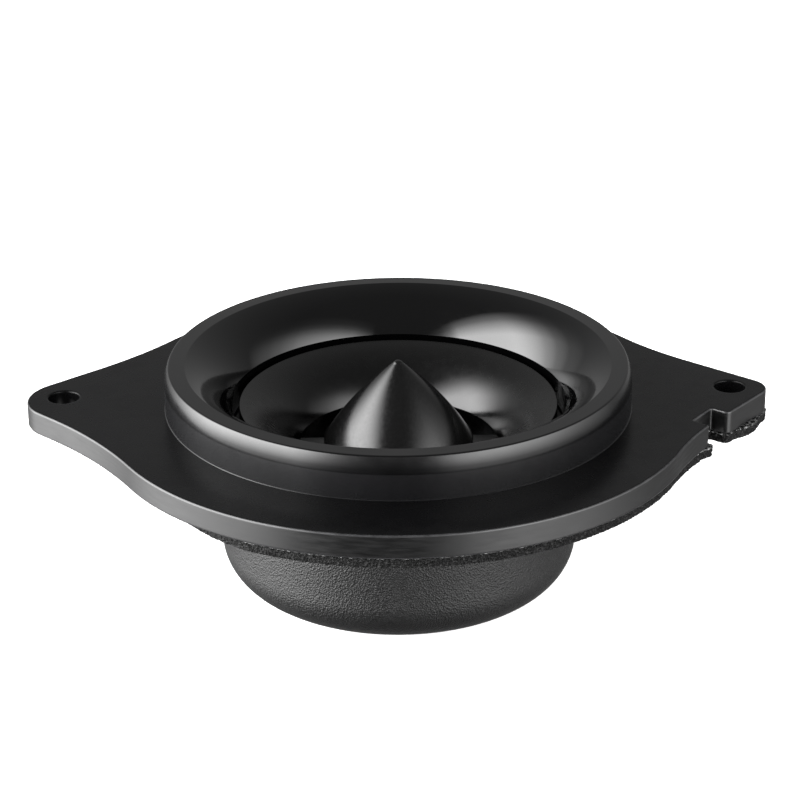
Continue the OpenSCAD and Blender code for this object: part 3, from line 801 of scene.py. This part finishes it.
def make_looks():
    """Every material of the part."""
    gloss_black()
    soft_crown()
    satin_wall()
    sheet_black()
    sawn_edge()
    rim_painted_highlight()
    satin_bowl()
    bullet_paint()
    can_leather()
    foam_painted_light()
    film_painted_glints()
    rubber_black()
    moulded_black()
    wound_copper()
    grey_felt()
    shrink_sleeve()
    plated("zinc_screw", grey(0.40), grey(0.58), 0.3)
    plated("dome", grey(0.55, 0.05), grey(0.66, 0.05), 0.22, 0.002)
    plated("brass", (0.62, 0.45, 0.16), (0.80, 0.62, 0.27), 0.25)
    plated("steel", grey(0.42), grey(0.52), 0.35, 0.01)
    plated("magnet", grey(0.52), grey(0.62), 0.14)
    plated("black_screw", grey(0.018), grey(0.04), 0.34)
    plated("tinned", grey(0.60), grey(0.74), 0.28)
    treated_cloth()
    amber_film()
    wire_jacket("red_wire", (0.32, 0.012, 0.012), (0.50, 0.03, 0.025))
    wire_jacket("black_wire", grey(0.010), grey(0.024))


# ---------------------------------------------------------------- pieces

def make_plate():
    """The mounting plate, with softened edges."""
    notched = cut_notch(plate_points(), NOTCH_DEPTH, 0, NOTCH_LIP_R, NOTCH_CORNER_R)
    outline = round_corners(notched)
    ears = [Vector((side * EAR_HALF_SPACING, EAR_BACK)) for side in (-1, 1)]
    loops = [outline, circle((0, 0), CUTOUT_R, 180, clockwise=True)]
    loops += [circle(ear, EAR_HOLE_R, 64, clockwise=True) for ear in ears]
    loops += [circle(polar(CAN_SCREW_PITCH_R, a), CAN_SCREW_HOLE_R, 32, clockwise=True) for a in DIAGONALS]
    part = slab(loops, edge_profile(plate_low.z, plate_high.z, PLATE_EDGE_R))
    piece = new_piece("mounting_plate", part, "plate")
    rim_low, rim_high = (plate_low.z + PLATE_EDGE_R) * MM, (plate_high.z - PLATE_EDGE_R) * MM

    def on_edge(face):
        """Whether a face is on one of the sheet's edges, other than in an ear hole."""
        hole_reach = (EAR_HOLE_R + PLATE_EDGE_R) * MM
        if abs(face.normal.z) >= FLAT_FROM:
            return False
        return all((face.center.xy - ear * MM).length > hole_reach for ear in ears)

    dress(piece, "plate_edge", on_edge)
    # The rounded rims take the paler look: painted highlight.
    dress(piece, "plate_rim_painted_highlight", lambda face: on_edge(face) and not rim_low < face.center.z < rim_high)


def foam_short(point):
    """How far the foam's outer edge is drawn in at the front left, where the photo shows less of it."""
    if point.x > 0 or point.length < FOAM_BORE_R + 1:
        return 0
    angle = direction(point - DISC_C) % 360
    return FOAM_SHORT * eased(min(angle - FOAM_SHORT_FROM, FOAM_SHORT_TO - angle) / FOAM_SHORT_FADE)


def foam_bulge(point):
    """How far the foam stands out beside the notch and along the right ear's front."""
    lobe_c = NOTCH_C - polar(NOTCH_HALF_W - FOAM_LOBE, NOTCH_FACES + 90)
    beside_notch = LOBE_BULGE * eased(1 - (point - lobe_c).length / LOBE_BULGE_REACH)
    return beside_notch + EAR_BULGE * eased(1 - (point - EAR_BULGE_C).length / EAR_BULGE_REACH)


def foam_edge(point, z):
    """How far the foam's cut edge stands out at a point: slow waves and torn cells, and a film
    that runs loose along the top."""
    place = Vector((point.x, point.y, z))
    waves = 0.1 * noise.noise(place * 0.35) + foam_bulge(point) - foam_short(point)
    if z > gasket_high.z - FILM_T:
        return waves + 0.2 * noise.noise(place * 1.3)
    return waves + 0.16 * noise.noise(place * 2.6) + 0.12 * noise.noise(place * 6.5)


def make_foam():
    """The foam gasket: a torn cellular edge under a thin film."""
    notch_depth = NOTCH_DEPTH + FOAM_INSET
    notched = cut_notch(foam_points(), notch_depth, FOAM_LOBE, FOAM_CORNER_R, FOAM_CORNER_R)
    loops = [resample(round_corners(notched), FOAM_STEP)]
    loops.append(circle((0, 0), FOAM_BORE_R, 360, clockwise=True))
    loops.append(circle((EAR_HALF_SPACING, EAR_BACK), FOAM_HOLE_R, 90, clockwise=True))
    foam_top = gasket_high.z - FILM_T
    rows = [gasket_low.z + (foam_top - gasket_low.z) * k / FOAM_ROWS for k in range(FOAM_ROWS + 1)]
    profile = [(0, z) for z in rows] + [(0, foam_top + 0.02), (0, gasket_high.z)]
    part = slab(loops, profile, foam_edge)
    piece = new_piece("foam_gasket", part, "foam")
    # The film's look carries painted glints in its colour.
    dress(piece, "film_edge_painted_glints", lambda face: face.center.z > foam_top * MM)


def ring_crown(steps=26):
    """(point, corner radius) pairs up the long soft shoulder, from the ring's outer wall to its rim."""
    foot = Vector((ring_high.x, ring_high.z - CROWN_H))
    shares = [k / steps for k in range(steps + 1)]
    points = [foot + Vector((-CROWN_IN * share ** 2, CROWN_H * share)) for share in shares]
    return [(p, 0) for p in points[:-1]] + [(points[-1], RIM_EDGE_R)]


def make_ring():
    """The gloss horn ring: spigot, outer wall, flat rim and a mouth that flares like a trumpet."""
    flare = arc_between((RING_BORE_R, RING_LIP_Z), (RIM_INNER_R, ring_high.z), FLARE_TURN, 40)
    corners = [
        ((RING_BORE_R, ring_low.z), MOULDED_R), ((SPIGOT_R, ring_low.z), 0.3),
        ((SPIGOT_R, plate_high.z), 0), ((ring_high.x + FOOT_BEAD, plate_high.z), 0),
        ((ring_high.x, plate_high.z + FOOT_BEAD), 0),
    ]
    corners += ring_crown() + [(flare[-1], MOULDED_R)]
    corners += [(p, 0) for p in flare[-2:0:-1]] + [(flare[0], 0.12)]
    outline = round_corners(cleared([(Vector(p), r) for p, r in corners]))
    piece = new_piece("horn_ring", lathe(outline, 720), "ring")
    wall_from = (ring_high.x - CROWN_IN - CROWN_LINE) * MM
    crown_from, crown_to = (ring_high.z - CROWN_H) * MM, (ring_high.z - CROWN_LINE) * MM

    def outside(face, low):
        """Whether a face is on the ring's outside, between a height and the polished line."""
        return face.center.xy.length > wall_from and low < face.center.z < crown_to

    dress(piece, "ring_wall", lambda face: outside(face, ring_low.z * MM))
    dress(piece, "ring_crown", lambda face: outside(face, crown_from))


def make_bowl():
    """The satin bowl, from its lip behind the ring's bore down to the throat."""
    wall = arc_between((THROAT_R, THROAT_Z), (BOWL_LIP_R, bowl_high.z), BOWL_TURN, 48)
    spider_seat_r = spider_high.x + 0.1
    spider_seat_z = bowl_low.z + SPIDER_SEAT_H
    corners = [
        ((THROAT_R, spider_seat_z), 0), ((spider_seat_r, spider_seat_z), 0),
        ((spider_seat_r, bowl_low.z), MOULDED_R), ((BOWL_LIP_R, bowl_low.z), 0.3),
        ((BOWL_LIP_R, BOWL_FLANGE_Z), MOULDED_R), ((bowl_high.x, BOWL_FLANGE_Z), MOULDED_R),
        ((bowl_high.x, seal_low.z), MOULDED_R), ((BOWL_LIP_R, seal_low.z), MOULDED_R), (wall[-1], 0.12),
    ]
    corners += [(p, 0) for p in wall[-2:0:-1]] + [(wall[0], 0.15)]
    new_piece("horn_bowl", lathe(round_corners(corners), 480), "bowl")


def make_bowl_gasket():
    """The soft seal under the horn ring, with rounded edges."""
    inner_r, outer_r = seal_high.x - SEAL_W, seal_high.x
    low, high = seal_low.z, seal_high.z
    corners = [
        ((r, z), 0.12) for r, z in ((inner_r, low), (outer_r, low), (outer_r, high), (inner_r, high))
    ]
    piece = new_piece("bowl_gasket", lathe(round_corners(corners), 240), "rubber")


def make_bullet():
    """The phase plug: a short skirt, a long ogive and a small round nose."""
    base = Vector((bullet_high.x, bullet_low.z + BULLET_SKIRT_H))
    nose = Vector((BULLET_TIP_R, bullet_high.z - BULLET_NOSE_DROP))
    centre = Vector((0, bullet_high.z - BULLET_NOSE_R))
    ogive = arc_between(nose, base, BULLET_TURN, 60)
    cap = arc(centre, BULLET_NOSE_R, 90, direction(nose - centre), 6)[::-1]
    foot = Vector((0, bullet_low.z))
    corners = [((bullet_high.x, bullet_low.z), MOULDED_R), (base, 0)]
    corners += [(p, 0) for p in ogive[-2:0:-1]] + [(nose, 0), (foot, 0)]
    profile = [foot] + round_corners(corners)[:-1] + cap[1:-1] + [Vector((0, bullet_high.z))]
    new_piece("bullet_plug", lathe(profile, 240), "bullet")


def can_wall_r(r, angle, z):
    """Radius of the can's outside, with the flat boss for the terminals raised from it."""
    sine = math.sin(math.radians(angle))
    if sine < 0.5:
        return r
    boss_r = BOSS_Y / sine
    x = boss_r * math.cos(math.radians(angle))
    side = (CAN_BOSS_HALF_W + CAN_BOSS_SOFT - abs(x)) / CAN_BOSS_SOFT
    rise = (CAN_BOSS_HALF_H + CAN_BOSS_SOFT - abs(z - BOARD_Z)) / CAN_BOSS_SOFT
    share = min(1, max(0, side)) * min(1, max(0, rise))
    return r + eased(share) * (boss_r - r)


def can_profile():
    """Closed outline of the can's wall, and how many of its points are on the outside."""
    bottom, top = can_low.z, can_high.z
    inner_r = CAN_R - CAN_WALL
    inner_edge_r = CAN_EDGE_R - CAN_WALL
    floor_z = bottom + CAN_FLOOR_T
    seat_r = bowl_high.x + 0.1
    edge_c = Vector((CAN_R - CAN_EDGE_R, bottom + CAN_EDGE_R))
    outside = [(0, bottom), (CAN_R - CAN_EDGE_R - 0.5, bottom), *arc(edge_c, CAN_EDGE_R, -90, 0, 3)]
    wall_from, wall_to = edge_c.y, CAN_FLANGE_Z - 0.6
    rows = 52
    outside += [(CAN_R, wall_from + (wall_to - wall_from) * k / rows) for k in range(1, rows + 1)]
    rest = round_corners([
        ((CAN_R, wall_to), 0), ((CAN_R, CAN_FLANGE_Z), 0.5), ((can_high.x, CAN_FLANGE_Z), 0.25),
        ((can_high.x, top), 0.15), ((seat_r, top), MOULDED_R), ((seat_r, BOWL_FLANGE_Z), 0),
        ((inner_r, BOWL_FLANGE_Z), MOULDED_R), ((inner_r, floor_z + inner_edge_r), 0),
    ], support=0.3)[1:]
    inside = arc(Vector((inner_r - inner_edge_r, floor_z + inner_edge_r)), inner_edge_r, 0, -90, 6)
    return outside + rest + inside[1:] + [(0, floor_z)], len(outside)


def make_can():
    """The rear can: a drum with a rounded lower edge, a flange on top and a flat boss at the back."""
    profile, outside = can_profile()
    verts, faces = lathe(profile, CAN_STEPS)
    outside_verts = 1 + (outside - 1) * CAN_STEPS
    moved = []
    for number, (x, y, z) in enumerate(verts):
        r = math.hypot(x, y)
        if number < outside_verts and r > CAN_R - CAN_EDGE_R:
            angle = math.degrees(math.atan2(y, x))
            x, y = polar(can_wall_r(r, angle, z), angle)
        moved.append((x, y, z))
    new_piece("rear_can", (moved, faces), "can")


def pan_head(head_r, head_h, shank_r, reach):
    """A screw that points up from zero, with a domed pan head below."""
    corners = [
        ((0, -head_h), 0), ((head_r * 0.55, -head_h), 0), ((head_r, -head_h * 0.72), head_h * 0.3),
        ((head_r, 0), 0.08), ((shank_r, 0), 0), ((shank_r, reach - shank_r), 0), ((0, reach), 0),
    ]
    return lathe(round_corners(corners), 64)


def cross_recess(head_r, head_h):
    """The two slots of a cross recess in a pan head."""
    long_half, short_half = head_r * 0.6, head_r * 0.17
    depth = head_h * 0.55
    return [
        block((-half_x, -half_y, -head_h - 1), (half_x, half_y, depth - head_h))
        for half_x, half_y in ((long_half, short_half), (short_half, long_half))
    ]


def make_screws(node, slot, places, head_r, head_h, shank_r, reach):
    """A group of cross-recessed pan screws at the given places."""
    screw = new_object("screw", pan_head(head_r, head_h, shank_r, reach))
    for slot_part in cross_recess(head_r, head_h):
        cut(screw, slot_part)
    verts = [tuple(v.co / MM) for v in screw.data.vertices]
    faces = [tuple(face.vertices) for face in screw.data.polygons]
    bpy.data.objects.remove(screw)
    new_piece(node, joined(*[placed((verts, faces), place) for place in places]), slot)


def make_all_screws():
    """The screws that show: under the can's flange and on the terminal board."""
    low, high = node_box("can_screws")
    places = [
        Matrix.Translation((*polar(CAN_SCREW_PITCH_R, a), CAN_FLANGE_Z)) @ turned("Z", a + 20)
        for a in DIAGONALS
    ]
    make_screws(
        "can_screws", "black_screw", places,
        CAN_SCREW_HEAD_R, CAN_FLANGE_Z - low.z, CAN_SCREW_R, high.z - CAN_FLANGE_Z,
    )
    low, high = node_box("board_screws")
    places = [
        Matrix.Translation((side * BOARD_SCREW_X, board_high.y, BOARD_Z))
        @ turned("X", 90) @ turned("Z", 35 * side)
        for side in (-1, 1)
    ]
    make_screws(
        "board_screws", "zinc_screw", places,
        BOARD_SCREW_HEAD_R, high.y - board_high.y, BOARD_SCREW_R, board_high.y - low.y,
    )


def rectangle(centre, half_w, half_h, r, clockwise=False):
    """A rounded rectangle."""
    x, y = centre
    corners = [(-half_w, -half_h), (half_w, -half_h), (half_w, half_h), (-half_w, half_h)]
    if clockwise:
        corners = corners[::-1]
    return round_corners([((x + a, y + b), r) for a, b in corners], support=0.1)


def make_board():
    """The terminal board, which stands on the boss and plugs its window."""
    half_w, half_h = board_high.x, (board_high.z - board_low.z) / 2
    loops = [rectangle((0, 0), half_w, half_h, 0.8)]
    loops += [circle((side * BOARD_SCREW_X, 0), BOARD_SCREW_HOLE_R, 24, clockwise=True) for side in (-1, 1)]
    blades = [rectangle((x, 0), slot_w, slot_h, 0.08, clockwise=True) for x, slot_w, slot_h in BLADE_SLOTS]
    front = slab(loops + blades, edge_profile(0, BOARD_T, 0.3))
    plug_outline = rectangle((0, 0), BOARD_PLUG_HALF_W, BOARD_PLUG_HALF_H, 0.3)
    plug = slab([plug_outline] + blades, edge_profile(board_low.y - BOSS_Y, -0.02, MOULDED_R))
    stand = Matrix.Translation((0, BOSS_Y, BOARD_Z)) @ turned("X", 90) @ Matrix.Scale(-1, 4, (0, 0, 1))
    new_piece("terminal_board", placed(joined(front, plug), stand), "moulding")


def make_pad():
    """The felt pad under the dome: a crowned disc with a soft uneven edge."""
    r, bottom, top = pad_high.x, pad_low.z, pad_high.z
    flat_r = 0.96 * r
    profile = [(0, bottom)] + [(flat_r * k / 12, bottom) for k in range(1, 13)]
    profile += arc(Vector((r - 0.5, (bottom + top) / 2)), 0.5, -70, 70, 14)
    profile += [(flat_r * k / 20, top) for k in range(20, 0, -1)] + [(0, top)]
    verts, faces = lathe(profile, 180)
    soft = []
    for x, y, z in verts:
        lift = 0.06 * noise.noise(Vector((x, y, z)) * 1.4) + 0.03 * noise.noise(Vector((x, y, z)) * 5)
        rim = 1 + 0.008 * noise.noise(Vector((x, y, 0)) * 0.9)
        soft.append((x * rim * 0.99, y * rim * 0.99, z if z <= bottom + 0.01 else z - 0.06 + lift))
    piece = new_piece("damping_pad", (soft, faces), "felt")


def dress_cad_nodes():
    """The record's material slot of each CAD node that stays, put on its object."""
    for part in frame["record"]["subparts"]:
        mesh = frame["nodes"][part["node"]].data
        mesh.materials.clear()
        mesh.materials.append(LOOKS[part["material_slot"]])


# ---------------------------------------------------------------- studio

def panel_levels(tree, place, ends, stops):
    """Brightness along one side of a panel. `ends` are where its (angle, level) stops lie."""
    shares = [(end - ends[0]) / (ends[-1] - ends[0]) for end in ends]
    return ramp(tree, place, [(share, grey(level)) for share, (_, level) in zip(shares, stops)])


def softbox(name, faces, distance, azimuths, elevations, radiance):
    """An upright soft panel, seen from the object in the direction `faces`. `azimuths` and
    `elevations` are (angle, level) stops from one edge to the other, the angles as the object
    sees them straight in front of the panel."""
    across = [math.tan(math.radians(a - faces)) for a, _ in azimuths]
    up = [math.tan(math.radians(e)) for e, _ in elevations]
    width, height = distance * (across[-1] - across[0]), distance * (up[-1] - up[0])
    light = bpy.data.lights.new(name, "AREA")
    light.shape = "RECTANGLE"
    light.size, light.size_y = width, height
    light.energy = radiance * math.pi * width * height
    light.use_nodes = True
    tree = light.node_tree
    place = add(tree, "ShaderNodeSeparateXYZ", [
        ("Vector", add(tree, "ShaderNodeNewGeometry").outputs["Parametric"]),
    ])
    strength = add(tree, "ShaderNodeMath", [
        (0, panel_levels(tree, place.outputs["X"], across, azimuths)),
        (1, panel_levels(tree, place.outputs["Y"], up, elevations)),
    ], operation="MULTIPLY")
    tree.links.new(strength.outputs[0], tree.nodes["Emission"].inputs["Strength"])
    panel = bpy.data.objects.new(name, light)
    away = Vector((*polar(1, faces), 0))
    along = Vector((*polar(1, faces + 90), 0))
    upward = Vector((0, 0, 1))
    centre = away * distance
    centre += along * distance * (across[0] + across[-1]) / 2 + upward * distance * (up[0] + up[-1]) / 2
    facing = Matrix((along, upward, away)).transposed().to_4x4()
    panel.matrix_world = Matrix.Translation(centre) @ facing
    panel.visible_camera = False
    bpy.context.scene.collection.objects.link(panel)


def make_lights():
    """A strong softbox at the left and a weaker one at the front right, both fading at their edges."""
    softbox(
        "left_softbox", 180, 1.0,
        [
            (118, 0), (130, 0.03), (140, 0.12), (150, 0.32), (160, 0.63), (170, 0.9), (176, 1),
            (222, 1), (228, 0.5), (236, 0.18), (246, 0.05), (252, 0),
        ],
        [(-38, 0.18), (-24, 0.45), (-8, 0.8), (4, 1), (38, 1), (46, 0.6), (53, 0.22), (60, 0)],
        12.5,
    )
    softbox(
        "right_softbox", -30, 1.0,
        [
            (-73, 0.3), (-65, 0.7), (-58, 1), (-45, 1), (-30, 0.8), (-15, 0.56), (-10, 0.42),
            (0, 0.25), (10, 0.14), (20, 0.07), (28, 0),
        ],
        [
            (-38, 0.45), (-24, 0.55), (0, 0.9), (15, 1), (25, 0.95), (30, 0.82), (35, 0.62),
            (40, 0.33), (45, 0.11), (50, 0.03), (58, 0),
        ],
        7,
    )


def make_world():
    """Dim light all round, a little stronger from behind, and a pale backdrop for the camera."""
    world = bpy.data.worlds.new("studio")
    world.use_nodes = True
    tree = world.node_tree
    fill = tree.nodes["Background"]
    fill.inputs["Color"].default_value = (1, 1, 1, 1)
    place = add(tree, "ShaderNodeTexCoord").outputs["Generated"]
    towards = add(tree, "ShaderNodeSeparateXYZ", [("Vector", place)])
    level = add(tree, "ShaderNodeMapRange", [
        ("Value", towards.outputs["Y"]), ("From Min", 0.0), ("From Max", 0.9),
        ("To Min", 0.2), ("To Max", 0.34),
    ])
    tree.links.new(level.outputs["Result"], fill.inputs["Strength"])
    pale = add(tree, "ShaderNodeBackground", [("Color", (1, 1, 1, 1)), ("Strength", 1.0)])
    seen = add(tree, "ShaderNodeMixShader", [
        ("Fac", add(tree, "ShaderNodeLightPath").outputs["Is Camera Ray"]),
        (1, fill.outputs[0]), (2, pale.outputs[0]),
    ])
    tree.links.new(seen.outputs[0], tree.nodes["World Output"].inputs["Surface"])
    bpy.context.scene.world = world
    bpy.context.scene.view_settings.view_transform = "Standard"


def make_floor():
    """A plain pale floor just under the can. It isn't mirrored in the gloss, as on a light table,
    and it's clear from below, so that the part's underside can be seen."""
    mesh = bpy.data.meshes.new("floor")
    rim = [Vector((*p, can_low.z - FLOOR_GAP)) * MM for p in circle((0, 0), FLOOR_R)]
    mesh.from_pydata(rim, [], [tuple(range(len(rim)))])
    floor = bpy.data.objects.new("floor", mesh)
    bpy.context.scene.collection.objects.link(floor)
    look = Look("floor", 0.9)
    look.colour(look.noise(40, 4), (0.3, grey(0.79)), (0.7, grey(0.81)))
    look.shader.inputs["Emission Color"].default_value = (1, 1, 1, 1)
    look.shader.inputs["Emission Strength"].default_value = 0.8
    below = add(look.tree, "ShaderNodeNewGeometry").outputs["Backfacing"]
    clear = add(look.tree, "ShaderNodeBsdfTransparent").outputs[0]
    both = add(look.tree, "ShaderNodeMixShader", [("Fac", below), (1, look.shader.outputs[0]), (2, clear)])
    surface = look.tree.nodes["Material Output"].inputs["Surface"]
    look.tree.links.new(both.outputs[0], surface)
    floor.data.materials.append(look.material)
    floor.visible_glossy = False
    floor.visible_diffuse = False
    floor.visible_shadow = False


def make_camera():
    """The camera, at the photograph's viewing angle."""
    azimuth, elevation, roll = math.radians(-1.52), math.radians(23.67), math.radians(-0.33)
    distance = 0.4203
    aim = Vector((0.28, -0.01, 5.41)) * MM
    flat = Vector((math.sin(azimuth), -math.cos(azimuth), 0))
    back = flat * math.cos(elevation) + Vector((0, 0, math.sin(elevation)))
    level = Vector((math.cos(azimuth), math.sin(azimuth), 0))
    upright = back.cross(level)
    right = level * math.cos(roll) + upright * math.sin(roll)
    up = upright * math.cos(roll) - level * math.sin(roll)
    data = bpy.data.cameras.new("camera")
    data.lens = 117.2
    data.sensor_width = 36
    data.clip_start = 0.01
    camera = bpy.data.objects.new("camera", data)
    facing = Matrix((right, up, back)).transposed().to_4x4()
    camera.matrix_world = Matrix.Translation(aim + back * distance) @ facing
    bpy.context.scene.collection.objects.link(camera)
    bpy.context.scene.camera = camera


make_camera()
make_lights()
make_world()
make_looks()
dress_cad_nodes()
make_plate()
make_foam()
make_ring()
make_bowl()
make_bowl_gasket()
make_bullet()
make_can()
make_all_screws()
make_board()
make_pad()
make_floor()
